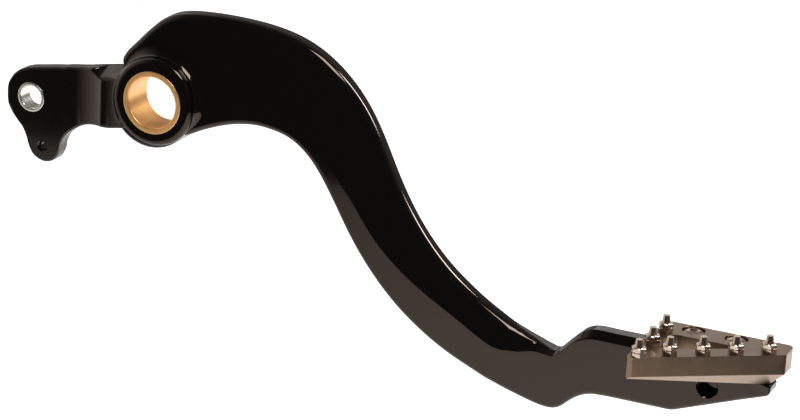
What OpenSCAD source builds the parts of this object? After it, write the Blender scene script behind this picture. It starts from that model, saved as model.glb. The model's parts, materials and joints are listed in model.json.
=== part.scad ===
// Rear brake pedal of a motorbike.
// A forged arm turns on a bushed pivot. A short lever behind the pivot pulls the brake rod,
// and a toothed step plate is screwed on top of the bar at the arm's tip.
// X runs forward to the tip, Y inboard to the engine and Z up. Outboard is -Y.
// The origin is the middle of the pivot bore.

/* [Pivot] */
// Bore of the pivot bush, for an 18 mm pivot
pivot_bore_d = 18.1; // [17.1:0.1:19.1]
// Outside diameter of the pivot bush
bush_d = 22; // [21:0.1:23.5]
// Length of the pivot bush
bush_l = 13.5; // [12:0.1:17]
// How far the bush stands proud of each end of the hub
bush_proud = 0.25; // [0.1:0.05:0.5]
// Outside diameter of the hub
hub_d = 30.8; // [29:0.1:33]
// Round on the outboard edge of the hub
hub_round = 2; // [0.5:0.1:3]
// Fillet where the arm's face meets the hub
hub_fillet = 4; // [1.5:0.1:5]
// How far the hub's foot bulges towards the rod lever
foot_bulge = 2; // [1:0.1:2.5]
// How far the face of the foot lies behind the face of the hub
foot_depth = 1.6; // [1:0.1:3]
// How far the foot's back lies behind the inboard end of the hub
foot_inset = 0.9; // [0.7:0.1:2]

/* [Arm] */
// Thickness of the arm at its lower edge, by the hub
arm_t = 9.7; // [8:0.1:11]
// Thickness of the arm at its upper edge
arm_edge_t = 6.2; // [5:0.1:7.5]
// How far the arm's inboard face lies behind the end of the hub
arm_inset = 0.3; // [0.1:0.1:1]
// Forward reach from the pivot to the heel of the bar
arm_reach = 163; // [145:1:185]
// Drop from the pivot to the top face of the bar
arm_drop = 51.5; // [40:0.5:65]
// Round on the outboard lower edge
low_round = 1.8; // [0.8:0.1:2.5]
// Break on the two inboard edges
back_round = 0.8; // [0.3:0.1:1.2]

/* [Bar] */
// Thickness of the bar that carries the step plate
bar_t = 7.7; // [7:0.1:9]
// Height of the bar
bar_h = 22; // [19:0.1:25]
// Chamfer along the outboard top edge of the bar
bar_chamfer = 2; // [1:0.1:2.5]
// Length of the level top of the bar, from the heel to the seat of the plate
bar_level_l = 21.8; // [20:0.2:30]
// Length of the sloping seat under the plate
seat_l = 39.5; // [36:0.1:44]
// Slope of the seat in degrees
seat_slope = 7.3; // [4:0.1:9]
// Slope of the tapered underside in degrees
taper_slope = 20.6; // [14:0.2:22]
// Round on the lower corner of the tip
tip_round = 2.5; // [1:0.1:3]
// Diameter of the blind hole in the side of the bar
side_hole_d = 7; // [5:0.1:7.6]
// Depth of that hole
side_hole_l = 5; // [3:0.1:5.5]

/* [Rod lever] */
// Distance of the rod pin behind the pivot
rod_x = 51.4; // [46:0.1:58]
// Distance of the rod pin below the pivot
rod_z = 8.2; // [5:0.1:11]
// Bore of the rod bush, for an 8 mm pin
rod_bore_d = 8.1; // [7.1:0.1:8.6]
// Outside diameter of the rod bush
rod_bush_d = 10.6; // [10:0.1:12.5]
// How far the rod bush stands proud of each face of the lever
rod_bush_proud = 0.1; // [0.1:0.05:0.5]
// Thickness of the lever
lever_t = 6; // [5:0.1:7]
// How far the lever's inboard face lies behind the arm's
lever_inset = 0.3; // [0.1:0.1:1]
// Round on the lever's edges
lever_round = 1.1; // [0.5:0.1:1.5]
// Thickness of the web where it meets the hub
web_t = 11.2; // [9:0.1:12]
// Length of the hollow ramp from the lever up to the web
ramp_l = 9; // [6:0.5:12]
// Hole for the return spring's hook
spring_hole_d = 3; // [2:0.1:4]
// Width of the countersink on the spring hole
spring_sink = 0.5; // [0.2:0.1:0.8]

/* [Step plate] */
// Length of the plate along the bar
plate_l = 43.8; // [40:0.2:50]
// Width of the plate across its rear edge
plate_w = 39.2; // [34:0.2:46]
// Width left at the plate's forward end
plate_nose_w = 9.4; // [7:0.2:12]
// Height of the plate's upright side faces
plate_t = 6.6; // [5:0.1:9]
// Height of the plate's top above the bar's top
plate_rise = 6.2; // [5:0.1:8]
// Setback of the rear edge from the start of the seat
plate_gap = 0.4; // [0.2:0.1:1]
// Width of the rear rail
rear_rail = 6.4; // [5:0.1:8]
// Width of the outboard rail
side_rail = 6.5; // [5:0.1:8]
// Width of the rail over the bar
bar_rail = 10.9; // [10:0.1:13]
// Round on the plate's corners
plate_round = 1.5; // [0.8:0.1:2]
// Round on the corner at the nose over the bar
nose_round = 2.6; // [1.5:0.1:4]
// Round in the corners of the opening
opening_round = 1.6; // [1:0.1:2]

/* [Screws] */
// Thread diameter of the two plate screws
screw_d = 4; // [3:0.5:5]
// Distance between the two screws
screw_pitch = 14.5; // [13:0.5:18]
// First screw, forward of the plate's rear edge
screw_x = 10.9; // [10:0.1:13]
// Inset of the screws from the inboard face
screw_in = 4.15; // [4.1:0.05:4.3]
// Diameter of the domed head
head_d = 7; // [6:0.1:7.4]
// Height of the domed head
head_h = 2.2; // [1.6:0.1:2.8]
// Depth of the head's top below the plate's top
head_sink = 0.1; // [0:0.1:0.8]
// Clearance round the head in its counterbore
head_gap = 0.35; // [0.2:0.05:0.4]
// Length of the screws under the head
screw_l = 14; // [10:0.5:16]
// Width across the flats of the socket
socket_af = 2.5; // [2:0.1:3]
// Clearance round the shank in the plate
shank_gap = 0.25; // [0.1:0.05:0.5]

/* [Grip studs] */
// Distance between the studs of the rear row
rear_pitch = 12.7; // [10:0.1:13]
// Distance between the studs of the outboard row
side_pitch = 10.9; // [9:0.1:12]
// Inset of the stud rows from the plate's edges
stud_in = 3.1; // [3:0.1:3.4]
// Setback of the foremost stud from the plate's forward end
stud_nose_in = 5.9; // [5.5:0.1:7]
// Width across the flats of the stud's hexagon
stud_af = 4.5; // [4:0.1:5.4]
// Height of the hexagon
stud_hex_h = 2.9; // [2:0.1:3.5]
// Width of the groove round the hexagon
stud_groove = 0.4; // [0.2:0.1:0.8]
// Height of the tapered pin on the hexagon
stud_pin_h = 2.6; // [1.5:0.1:4]
// Diameter of the pin at its foot
stud_pin_d = 2.9; // [2.4:0.1:3.4]
// Diameter of the pin at its top
stud_tip_d = 2.2; // [1.6:0.1:2.4]
// Diameter of the threaded shank
stud_shank_d = 3; // [2:0.1:3.5]
// Length of the shank in the plate
stud_shank_l = 5; // [3:0.1:6]

/* [Hidden] */

ROUND_FN = 96;

// Depths along Y
hub_l = bush_l - 2 * bush_proud;
hub_r = hub_d / 2;
back_y = hub_l / 2 - arm_inset;
edge_y = back_y - arm_edge_t;
bar_y = back_y - bar_t;
lever_back_y = back_y - lever_inset;

// Hand-drawn stations along the arm, from behind the hub to the level bar, in mm from the pivot:
// the upper edge x and z, the lower edge x and z, the crease's share of the way from the
// lower edge to the upper one, and the round on the upper outboard edge.
// They are drawn for this reach, drop and height of bar, and follow those three sizes.
DRAWN_REACH = 163;
DRAWN_DROP = 51.5;
DRAWN_BAR_H = 21.7;
ARM = [
    [-12.6, 8.6, -0.8, 0.6, 0.00, 1.8],
    [-14.8, 11.4, -0.9, 1.5, 0.00, 2.0],
    [-13.6, 14.6, 2.2, 0.0, 0.00, 2.2],
    [-9.7, 19.0, 5.0, -2.2, 0.00, 2.4],
    [-5.5, 23.5, 7.6, -5.3, 0.00, 2.5],
    [-0.6, 27.8, 9.6, -8.2, 0.00, 2.5],
    [4.6, 30.4, 11.5, -10.6, 0.00, 2.5],
    [12.4, 31.7, 17.7, -7.7, 0.00, 2.5],
    [25.0, 32.1, 27.5, -4.1, 0.00, 2.5],
    [40.5, 31.1, 36.6, -2.6, 0.00, 2.5],
    [54.0, 27.7, 43.5, -3.0, 0.00, 2.6],
    [65.6, 20.7, 49.8, -4.5, 0.02, 2.7],
    [75.2, 10.8, 55.5, -7.9, 0.12, 2.8],
    [82.2, -0.6, 61.0, -13.6, 0.22, 2.9],
    [88.9, -14.2, 67.4, -23.4, 0.35, 3.0],
    [96.7, -27.0, 76.7, -38.9, 0.42, 3.1],
    [106.7, -38.6, 90.0, -54.6, 0.55, 3.3],
    [118.7, -48.0, 105.7, -66.5, 0.61, 3.7],
    [131.1, -55.2, 122.3, -74.5, 0.57, 4.2],
    [137.1, -57.8, 130.3, -77.4, 0.70, 3.6],
    [142.8, -59.8, 138.0, -79.6, 0.86, 2.4],
    [147.0, -61.2, 145.0, -81.2, 0.92, 1.2],
    [149.8, -61.6, 149.6, -81.5, 0.94, 0.8],
    [152.2, -59.4, 152.8, -80.4, 0.94, 0.7],
    [155.6, -55.8, 156.0, -77.6, 0.93, 0.6],
    [158.8, -53.0, 159.3, -75.2, 0.91, 0.6],
    [163.0, -51.5, 163.5, -73.6, 0.90, 0.6],
    [170.0, -51.5, 170.0, -73.2, 0.90, 0.6]
];
ARM_STEPS = 3;

// Hand-drawn stations along the rod lever: the upper edge x and z, the lower edge x and z,
// measured from the rod pin for the eye and the spring lobe, and from the pivot for the web
EYE = [
    [-9.9, 1.4, -9.9, -1.4],
    [-9.2, 4.3, -9.2, -4.4],
    [-7.6, 6.9, -7.6, -7.2],
    [-5.4, 8.9, -5.7, -9.5],
    [-3.0, 10.0, -3.5, -11.9],
    [-0.6, 10.6, -1.9, -15.0],
    [1.2, 10.9, -0.6, -18.8],
    [3.0, 11.2, 1.5, -21.6],
    [5.3, 11.6, 5.4, -22.9],
    [7.7, 12.0, 9.1, -21.7],
    [9.7, 12.3, 11.1, -18.7],
    [11.7, 12.6, 11.8, -15.3],
    [14.1, 13.1, 13.7, -11.9],
    [16.9, 13.5, 17.0, -9.1],
    [20.9, 14.1, 21.1, -6.8]
];
WEB = [
    [-26.0, 6.8, -26.0, -13.9],
    [-22.0, 7.5, -22.0, -13.4],
    [-18.5, 8.1, -18.5, -13.2],
    [-14.0, 8.6, -14.0, -12.2],
    [-9.0, 8.8, -9.0, -11.0]
];
LEVER_STEPS = 2;

// Smooth step from 0 to 1 as t goes from 0 to 1
function ease(t) = let (c = max(0, min(1, t))) c * c * (3 - 2 * c);

// One point of a smooth curve through rows of numbers, between rows i and i + 1
function row(list, i) = list[max(0, min(len(list) - 1, i))];
function between(list, i, t) =
    let (a = row(list, i - 1), b = row(list, i), c = row(list, i + 1), d = row(list, i + 2))
    b + (c - a) * (t / 2) + (2 * a - 5 * b + 4 * c - d) * (t * t / 2)
    + (3 * b - a - 3 * c + d) * (t * t * t / 2);
function smooth(list, steps) = [
    for (i = [0:len(list) - 2], k = [0:steps - 1]) between(list, i, k / steps),
    list[len(list) - 1]
];

// How far a drawn point moves when the reach, the drop or the bar's height is changed
BEND_FROM = 30;
BEND_RUN = 115;
HEEL_FROM = 120;
HEEL_RUN = 35;
function reach_x(x) = x + (arm_reach - DRAWN_REACH) * ease((x - BEND_FROM) / BEND_RUN);
function drop_z(x, z) = z - (arm_drop - DRAWN_DROP) * ease((x - BEND_FROM) / BEND_RUN);
function moved(s) = [
    reach_x(s[0]), drop_z(s[0], s[1]), reach_x(s[2]),
    drop_z(s[2], s[3]) - (bar_h - DRAWN_BAR_H) * ease((s[2] - HEEL_FROM) / HEEL_RUN), s[4], s[5]
];

// A rounded cross-section, as points across the part from its lower edge and in depth
function arc(cx, cy, r, from, to, n) = [
    for (k = [0:n]) let (a = from + (to - from) * k / n) [cx + r * cos(a), cy + r * sin(a)]
];
function section(w, back, low_y, up_y, crease, r_low, r_up) =
    let (
        rl = min(r_low, w * 0.3),
        ru = min(r_up, w * 0.3, (w - max(crease, rl)) * 0.85),
        rb = min(back_round, w * 0.3),
        cw = max(crease, rl + 0.4)
    )
    concat(
        arc(rb, back - rb, rb, 90, 180, 2),
        arc(rl, low_y + rl, rl, 180, 270, 4),
        [[cw, low_y]],
        arc(w - ru, up_y + ru, ru, 270, 360, 5),
        arc(w - rb, back - rb, rb, 0, 90, 2)
    );
function ring(up, low, pts) =
    let (w = norm(up - low), d = (up - low) / w)
    [for (p = pts) [low[0] + d[0] * p[0], p[1], low[1] + d[1] * p[0]]];

// Skins a row of rings that all have the same number of points
module skin(rings) {
    n = len(rings[0]);
    m = len(rings);
    sides = [
        for (i = [0:m - 2], k = [0:n - 1])
            let (a = i * n + k, b = i * n + (k + 1) % n)
            each [[a, b, b + n], [a, b + n, a + n]]
    ];
    first = [for (k = [n - 1:-1:0]) k];
    last = [for (k = [0:n - 1]) (m - 1) * n + k];
    polyhedron([for (r = rings) each r], concat(sides, [first, last]), convexity = 10);
}

// The arm's outboard face leans inboard as it rises past the hub, and is upright at the bar.
// Its lower edge thins from the bend on, and its upper edge swings to the bar's chamfer at the heel.
HUB_LOW_Z = -6;
HUB_TOP_Z = 32;
LEAN_FROM = 20;
LEAN_RUN = 30;
THIN_FROM = 45;
THIN_RUN = 100;
SWING_FROM = 130;
SWING_RUN = 30;
function hub_face(z) =
    back_y - arm_t + (arm_t - arm_edge_t) * (z - HUB_LOW_Z) / (HUB_TOP_Z - HUB_LOW_Z);
function low_face(x, z) =
    let (
        far = back_y - arm_t + (arm_t - bar_t) * ease((x - THIN_FROM) / THIN_RUN),
        k = ease((x - LEAN_FROM) / LEAN_RUN)
    )
    hub_face(z) * (1 - k) + far * k;
function up_face(x, z) =
    let (
        tip = bar_y + bar_chamfer,
        e = ease((x - SWING_FROM) / SWING_RUN),
        k = ease((x - LEAN_FROM) / LEAN_RUN)
    )
    hub_face(z) * (1 - k) + (edge_y * (1 - e) + tip * e) * k;

function arm_ring(s) =
    let (up = [s[0], s[1]], low = [s[2], s[3]], w = norm(up - low))
    ring(up, low, section(w, back_y, low_face(low[0], low[1]), up_face(up[0], up[1]),
        s[4] * w, low_round, s[5]));

// Places along the bar
heel_x = arm_reach;
bar_top = -arm_drop;
bar_low = bar_top - bar_h;
seat_x = heel_x + bar_level_l;
tip_x = seat_x + seat_l;
plate_x = seat_x + plate_gap;
SEAT_STEP = 1.1;
TAPER_START = 6.7;
taper_x = seat_x + TAPER_START;
function seat_z(x) = bar_top - SEAT_STEP - (x - seat_x) * tan(seat_slope);
function taper_z(x) = bar_low + max(0, x - taper_x) * tan(taper_slope);
function bar_ring(x, top, low) =
    let (w = top - low)
    ring([x, top], [x, low],
        section(w, back_y, bar_y, bar_y + bar_chamfer, w - 1.15 * bar_chamfer, low_round, 0.6));

// The tip's lower corner is an arc from the taper round to the end face
corner_x = tip_x - tip_round;
corner_z = taper_z(corner_x - tip_round * sin(taper_slope))
    + tip_round * cos(taper_slope);
corner = [
    for (a = [-90 + taper_slope:16:-12])
        [corner_x + tip_round * cos(a), corner_z + tip_round * sin(a)]
];

module arm_body() {
    drawn = smooth([for (s = ARM) moved(s)], ARM_STEPS);
    level = [bar_ring(seat_x, bar_top, bar_low), bar_ring(plate_x, seat_z(plate_x), bar_low),
        bar_ring(taper_x, seat_z(taper_x), bar_low)];
    nose = [for (p = corner) bar_ring(p[0], seat_z(p[0]), p[1])];
    skin(concat([for (s = drawn) arm_ring(s)], level, nose,
        [bar_ring(tip_x, seat_z(tip_x), corner_z)]));
}

// The lever's face is level as far as the ramp, which sweeps up to the web in a hollow arc
WEB_X = -21;
ramp_rise = web_t - lever_t;
ramp_r = (ramp_l * ramp_l + ramp_rise * ramp_rise) / (2 * ramp_rise);
function lever_face(x) =
    let (d = max(0, min(ramp_l, x - WEB_X + ramp_l)))
    lever_back_y - lever_t - (ramp_r - sqrt(ramp_r * ramp_r - d * d));
function lever_ring(s) =
    let (up = [s[0], s[1]], low = [s[2], s[3]], w = norm(up - low))
    ring(up, low, section(w, lever_back_y, lever_face(low[0]), lever_face(up[0]), 0,
        lever_round, lever_round));

module lever_body() {
    eye = [for (s = EYE) s + [-rod_x, -rod_z, -rod_x, -rod_z]];
    skin([for (s = smooth(concat(eye, WEB), LEVER_STEPS)) lever_ring(s)]);
}

// Turns a solid drawn along Z so that it lies along Y, with its Z zero at the given depth
module along_y(x, y, z) {
    translate([x, y, z]) rotate([-90, 0, 0]) children();
}

module hub() {
    edge = 0.5;
    along_y(0, -hub_l / 2, 0)
        rotate_extrude($fn = ROUND_FN)
            polygon(concat(
                [[0, 0]],
                arc(hub_r - hub_round, hub_round, hub_round, -90, 0, 8),
                [[hub_r, hub_l - edge], [hub_r - edge, hub_l], [0, hub_l]]
            ));
}

// The forging bulges under the hub, towards the rod lever
BULGE_HEADING = 219;
module hub_foot() {
    r = hub_r + 0.2;
    edge = 1.5;
    along_y(foot_bulge * cos(BULGE_HEADING), foot_depth - hub_l / 2, foot_bulge * sin(BULGE_HEADING))
        rotate_extrude($fn = ROUND_FN)
            polygon(concat([[0, 0]], arc(r - edge, edge, edge, -90, 0, 6),
                [[r, hub_l - foot_depth - foot_inset], [0, hub_l - foot_depth - foot_inset]]));
}

// Fillet at the hub's foot, swept over the arm's leaning face and run out at both ends
FILLET_FROM = -40;
FILLET_TO = 165;
function fillet_r(a) =
    0.3 + (hub_fillet - 0.3) * ease((a - FILLET_FROM) / 40) * ease((FILLET_TO - a) / 60);
function fillet_ring(a) =
    let (
        r = fillet_r(a),
        face = hub_face((hub_r + r) * sin(a)) + 0.05,
        hollow = arc(hub_r + r, face - r, r, 90, 180, 6),
        loop = concat([[hub_r - 1, face + 2], [hub_r + r, face + 2]], hollow, [[hub_r - 1, face - r]])
    )
    [for (p = loop) [p[0] * cos(a), p[1], p[0] * sin(a)]];
module foot_fillet() {
    skin([for (a = [FILLET_TO:-7.5:FILLET_FROM]) fillet_ring(a)]);
}

// Places of the plate, its screws and its studs
plate_top = bar_top + plate_rise;
nose_x = plate_x + plate_l;
rear_y = back_y - plate_w;
nose_y = back_y - plate_nose_w;
slant = atan2(nose_y - rear_y, plate_l);
function screw_at(i) = [plate_x + screw_x + i * screw_pitch, back_y - screw_in];
side_hole_x = plate_x + screw_x + screw_pitch / 2;
side_hole_z = bar_low + bar_h / 2;
head_seat = plate_top - head_sink - head_h;

module tapped_hole(i) {
    translate([screw_at(i)[0], screw_at(i)[1], head_seat - screw_l - 0.5])
        cylinder(h = screw_l + 10, d = screw_d, $fn = 48);
}

module pedal_arm() {
    color([0.06, 0.06, 0.055])
        difference() {
            union() {
                arm_body();
                lever_body();
                hub();
                hub_foot();
                foot_fillet();
            }
            along_y(0, -hub_l, 0) cylinder(h = 2 * hub_l, d = bush_d, $fn = ROUND_FN);
            along_y(-rod_x, -hub_l, -rod_z) cylinder(h = 2 * hub_l, d = rod_bush_d, $fn = 64);
            spring_hole();
            along_y(side_hole_x, bar_y - 1, side_hole_z)
                cylinder(h = side_hole_l + 1, d = side_hole_d, $fn = 48);
            tapped_hole(0);
            tapped_hole(1);
        }
}

SPRING_DX = 4.7;
SPRING_DZ = -17.2;
module spring_hole() {
    r = spring_hole_d / 2;
    face = lever_back_y - lever_t;
    along_y(SPRING_DX - rod_x, face, SPRING_DZ - rod_z)
        rotate_extrude($fn = 48)
            polygon([[0, -1], [r + spring_sink + 1, -1], [r, spring_sink], [r, lever_t + 1],
                [0, lever_t + 1]]);
}

// A plain bush with both bore edges broken
module bush(l, outer, bore, edge) {
    along_y(0, -l / 2, 0)
        rotate_extrude($fn = ROUND_FN)
            polygon([
                [bore / 2 + edge, 0], [outer / 2 - edge / 2, 0], [outer / 2, edge / 2],
                [outer / 2, l - edge / 2], [outer / 2 - edge / 2, l], [bore / 2 + edge, l],
                [bore / 2, l - edge], [bore / 2, edge]
            ]);
}

module pivot_bush() {
    color([0.80, 0.60, 0.32]) bush(bush_l, bush_d, pivot_bore_d, 0.5);
}

module rod_bush() {
    color([0.86, 0.87, 0.84])
        translate([-rod_x, lever_back_y - lever_t / 2, -rod_z])
            bush(lever_t + 2 * rod_bush_proud, rod_bush_d, rod_bore_d, 0.3);
}

// Rounds the corners of a polygon whose rows are x, y and corner radius
function unit(v) = v / norm(v);
function corner_arc(p, c, n) =
    let (
        u = unit([p[0] - c[0], p[1] - c[1]]),
        v = unit([n[0] - c[0], n[1] - c[1]]),
        half = acos(u * v) / 2,
        mid = [c[0], c[1]] + unit(u + v) * (c[2] / sin(half)),
        a = [c[0], c[1]] + u * (c[2] / tan(half)) - mid,
        turn = cross(u, v) > 0 ? -1 : 1,
        sweep = turn * (180 - 2 * half),
        start = atan2(a[1], a[0])
    )
    [for (k = [0:6]) mid + c[2] * [cos(start + sweep * k / 6), sin(start + sweep * k / 6)]];
function rounded(list) = [
    for (i = [0:len(list) - 1])
        each corner_arc(list[(i + len(list) - 1) % len(list)], list[i], list[(i + 1) % len(list)])
];

// The opening keeps the width of each rail
open_x = plate_x + rear_rail;
open_y = back_y - bar_rail;
open_rail = rear_y + side_rail / cos(slant);
function rail_y(x) = open_rail + (x - plate_x) * tan(slant);
open_nose = plate_x + (open_y - open_rail) / tan(slant);

// A wedge that planes one lower edge of the plate at 45 degrees, along a line in plan
module edge_bevel(x, y, heading) {
    side = 30;
    translate([x, y, plate_top - plate_t])
        rotate([0, 0, heading])
            rotate([45, 0, 0])
                translate([-side, -2 * side, -side * 2])
                    cube([4 * side, 2 * side, 2 * side]);
}

module step_plate() {
    plan = [
        [plate_x, rear_y, plate_round], [nose_x, nose_y, plate_round],
        [nose_x, back_y, nose_round], [plate_x, back_y, plate_round]
    ];
    opening = [
        [open_x, rail_y(open_x), opening_round], [open_nose, open_y, opening_round],
        [open_x, open_y, opening_round]
    ];
    deep = 14;
    color([0.30, 0.285, 0.27])
        difference() {
            translate([0, 0, plate_top - deep]) linear_extrude(deep) polygon(rounded(plan));
            translate([0, 0, plate_top - deep - 1]) linear_extrude(deep + 2) polygon(rounded(opening));
            edge_bevel(plate_x, rear_y, slant);
            edge_bevel(nose_x, nose_y, 90);
            edge_bevel(plate_x, back_y, -90);
            translate([seat_x, back_y - 2 * plate_w, bar_top - SEAT_STEP])
                rotate([0, seat_slope, 0])
                    translate([-plate_l, 0, -30])
                        cube([3 * plate_l, 3 * plate_w, 30]);
            for (i = [0:1])
                translate([screw_at(i)[0], screw_at(i)[1], 0]) {
                    translate([0, 0, head_seat])
                        cylinder(h = 10, d = head_d + 2 * head_gap, $fn = 64);
                    translate([0, 0, plate_top - deep - 1])
                        cylinder(h = deep, d = screw_d + 2 * shank_gap, $fn = 48);
                }
            for (i = [0:6])
                translate([stud_at(i)[0], stud_at(i)[1], plate_top - stud_shank_l])
                    cylinder(h = stud_shank_l + 1, d = stud_shank_d, $fn = 48);
        }
}

// A domed screw with a socket in its head
module step_screw(i) {
    dome = (head_d * head_d / 4 + head_h * head_h) / (2 * head_h);
    rim = 0.5;
    color([0.72, 0.71, 0.69])
        translate([screw_at(i)[0], screw_at(i)[1], head_seat])
            difference() {
                rotate_extrude($fn = 64)
                    polygon(concat(
                        [[0, -screw_l], [screw_d / 2 - 0.5, -screw_l],
                            [screw_d / 2, 0.5 - screw_l], [screw_d / 2, 0], [head_d / 2, 0]],
                        [for (k = [0:8])
                            let (r = head_d / 2 * (1 - k / 8))
                            [r, rim + (head_h - rim) * sqrt(1 - pow(2 * r / head_d, 2))]]
                    ));
                translate([0, 0, head_h - 1.4])
                    cylinder(h = 3, d = socket_af / cos(30), $fn = 6);
            }
}

module step_screw_1() { step_screw(0); }
module step_screw_2() { step_screw(1); }

// Three studs stand along the rear edge and four along the slanted outboard edge
stud_rear_x = plate_x + stud_in;
stud_first_y = back_y - stud_in - 6.3;
function edge_stud_y(x) = rear_y + (x - plate_x) * tan(slant) + (stud_in + 0.4) / cos(slant);
function stud_at(i) =
    i < 3
    ? [stud_rear_x, stud_first_y - (2 - i) * rear_pitch]
    : let (x = nose_x - stud_nose_in - (6 - i) * side_pitch * cos(slant)) [x, edge_stud_y(x)];

// A hexagon in two tiers with a tapered pin on top and a threaded shank below
module grip_stud(i) {
    hex_d = stud_af / cos(30);
    tier = (stud_hex_h - stud_groove) / 2;
    color([0.78, 0.77, 0.75])
        translate([stud_at(i)[0], stud_at(i)[1], plate_top]) {
            translate([0, 0, -stud_shank_l]) cylinder(h = stud_shank_l, d = stud_shank_d, $fn = 48);
            intersection() {
                union() {
                    cylinder(h = tier, d = hex_d, $fn = 6);
                    cylinder(h = stud_hex_h, d = stud_af * 0.9, $fn = 48);
                    translate([0, 0, tier + stud_groove]) cylinder(h = tier, d = hex_d, $fn = 6);
                }
                rotate_extrude($fn = 64)
                    polygon([[0, 0], [hex_d / 2, 0], [hex_d / 2, stud_hex_h - 0.4],
                        [stud_af / 2 - 0.1, stud_hex_h], [0, stud_hex_h]]);
            }
            translate([0, 0, stud_hex_h])
                rotate_extrude($fn = 48)
                    polygon([[0, 0], [stud_pin_d / 2, 0], [stud_tip_d / 2, stud_pin_h - 0.25],
                        [stud_tip_d / 2 - 0.25, stud_pin_h], [0, stud_pin_h]]);
        }
}

module grip_stud_1() { grip_stud(0); }
module grip_stud_2() { grip_stud(1); }
module grip_stud_3() { grip_stud(2); }
module grip_stud_4() { grip_stud(3); }
module grip_stud_5() { grip_stud(4); }
module grip_stud_6() { grip_stud(5); }
module grip_stud_7() { grip_stud(6); }

pedal_arm();
pivot_bush();
rod_bush();
step_plate();
step_screw_1();
step_screw_2();
grip_stud_1();
grip_stud_2();
grip_stud_3();
grip_stud_4();
grip_stud_5();
grip_stud_6();
grip_stud_7();
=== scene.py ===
"""Rear brake pedal: fine meshes, finishes, a plain studio and the photograph's view.

Lengths are in millimetres unless a name or a docstring says otherwise, and turn to metres where
a mesh is made. +X runs forward to the tip, +Y inboard and +Z up, from the middle of the pivot.
"""

import json
import logging
import math
from dataclasses import dataclass
from enum import Enum
from typing import Any

import bpy
import numpy as np
from mathutils import Matrix, Quaternion, Vector


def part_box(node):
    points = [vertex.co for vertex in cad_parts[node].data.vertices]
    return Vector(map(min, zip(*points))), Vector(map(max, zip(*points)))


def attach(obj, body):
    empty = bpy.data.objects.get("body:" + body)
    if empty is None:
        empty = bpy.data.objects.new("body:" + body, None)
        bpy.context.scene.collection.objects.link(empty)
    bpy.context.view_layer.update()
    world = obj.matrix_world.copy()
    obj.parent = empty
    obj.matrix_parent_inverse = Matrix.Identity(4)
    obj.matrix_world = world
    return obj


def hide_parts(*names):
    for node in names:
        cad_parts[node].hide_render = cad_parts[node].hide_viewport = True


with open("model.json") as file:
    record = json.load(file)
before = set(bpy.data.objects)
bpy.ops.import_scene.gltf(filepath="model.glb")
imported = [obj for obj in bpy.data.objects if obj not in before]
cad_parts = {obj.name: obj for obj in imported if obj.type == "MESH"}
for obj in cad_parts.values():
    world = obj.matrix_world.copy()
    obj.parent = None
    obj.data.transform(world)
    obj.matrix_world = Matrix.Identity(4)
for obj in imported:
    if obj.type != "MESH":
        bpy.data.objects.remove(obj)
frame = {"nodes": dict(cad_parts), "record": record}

LOG = logging.getLogger("brake_pedal")
MM = 0.001
BODY = "root"
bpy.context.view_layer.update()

# What the value of a noise texture mostly stays between
NOISE_LOW, NOISE_HIGH = 0.3, 0.7
WHITE = (1.0, 1.0, 1.0, 1.0)


def linear(colour: str) -> tuple[float, float, float, float]:
    """Turns an sRGB hex colour into linear values.

    Args:
        colour: six hex digits after a hash sign.

    Returns:
        Red, green, blue and an alpha of 1.
    """
    parts = [int(colour[i:i + 2], 16) / 255 for i in (1, 3, 5)]
    red, green, blue = (c / 12.92 if c <= 0.04045 else ((c + 0.055) / 1.055) ** 2.4 for c in parts)
    return red, green, blue, 1.0


def add_node(tree: bpy.types.NodeTree, kind: str, inputs: dict | None = None,
             **settings: Any) -> bpy.types.Node:
    """Adds a node with its settings and links.

    Args:
        tree: the node tree that it joins.
        kind: the node's type name.
        inputs: for each input, by its name or number, a value, a socket to link or a list of
            sockets to link.
        settings: the node's own properties.

    Returns:
        The new node.
    """
    node = tree.nodes.new(kind)
    for name, value in settings.items():
        setattr(node, name, value)
    for name, value in (inputs or {}).items():
        sources = value if isinstance(value, list) else [value]
        if not isinstance(sources[0], bpy.types.NodeSocket):
            node.inputs[name].default_value = value
            continue
        for source in sources:
            tree.links.new(source, node.inputs[name])
    return node


class Tooling(Enum):
    """How a metal surface was cut, which sets the direction of its fine lines."""

    TURNED = "turned"
    BLASTED = "blasted"
    POLISHED = "polished"


@dataclass(frozen=True)
class Finish:
    """What every finish has: its name, the record's slot, and its shader's plain numbers."""

    name: str
    slot: str
    colour: str
    metallic: float
    roughness: float

    def material(self) -> bpy.types.Material:
        """The finish's material, which is made at its first use."""
        return bpy.data.materials.get(self.name) or self.build()

    def build(self) -> bpy.types.Material:
        """Makes the material, which each kind of finish does in its own way."""
        raise NotImplementedError

    def start(self) -> tuple[bpy.types.Material, bpy.types.NodeTree, bpy.types.Node]:
        """Makes the material with its colour, metallic and roughness set on the shader."""
        material = bpy.data.materials.new(self.name)
        material.use_nodes = True
        tree = material.node_tree
        shader = tree.nodes["Principled BSDF"]
        shader.inputs["Base Color"].default_value = linear(self.colour)
        shader.inputs["Metallic"].default_value = self.metallic
        shader.inputs["Roughness"].default_value = self.roughness
        return material, tree, shader

    def vary_roughness(self, tree: bpy.types.NodeTree, shader: bpy.types.Node,
                       place: bpy.types.NodeSocket, patch: float, spread: float) -> None:
        """Lets the roughness drift a little over the surface.

        Args:
            tree: the material's tree.
            shader: its Principled shader.
            place: the coordinates.
            patch: how wide a patch is.
            spread: how far the roughness moves either way.
        """
        cloud = add_node(tree, "ShaderNodeTexNoise",
                         {"Vector": place, "Scale": 1 / (patch * MM), "Detail": 4.0})
        drift = add_node(tree, "ShaderNodeMapRange", {
            "Value": cloud.outputs["Fac"], "From Min": NOISE_LOW, "From Max": NOISE_HIGH,
            "To Min": self.roughness - spread, "To Max": self.roughness + spread})
        tree.links.new(drift.outputs["Result"], shader.inputs["Roughness"])


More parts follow.
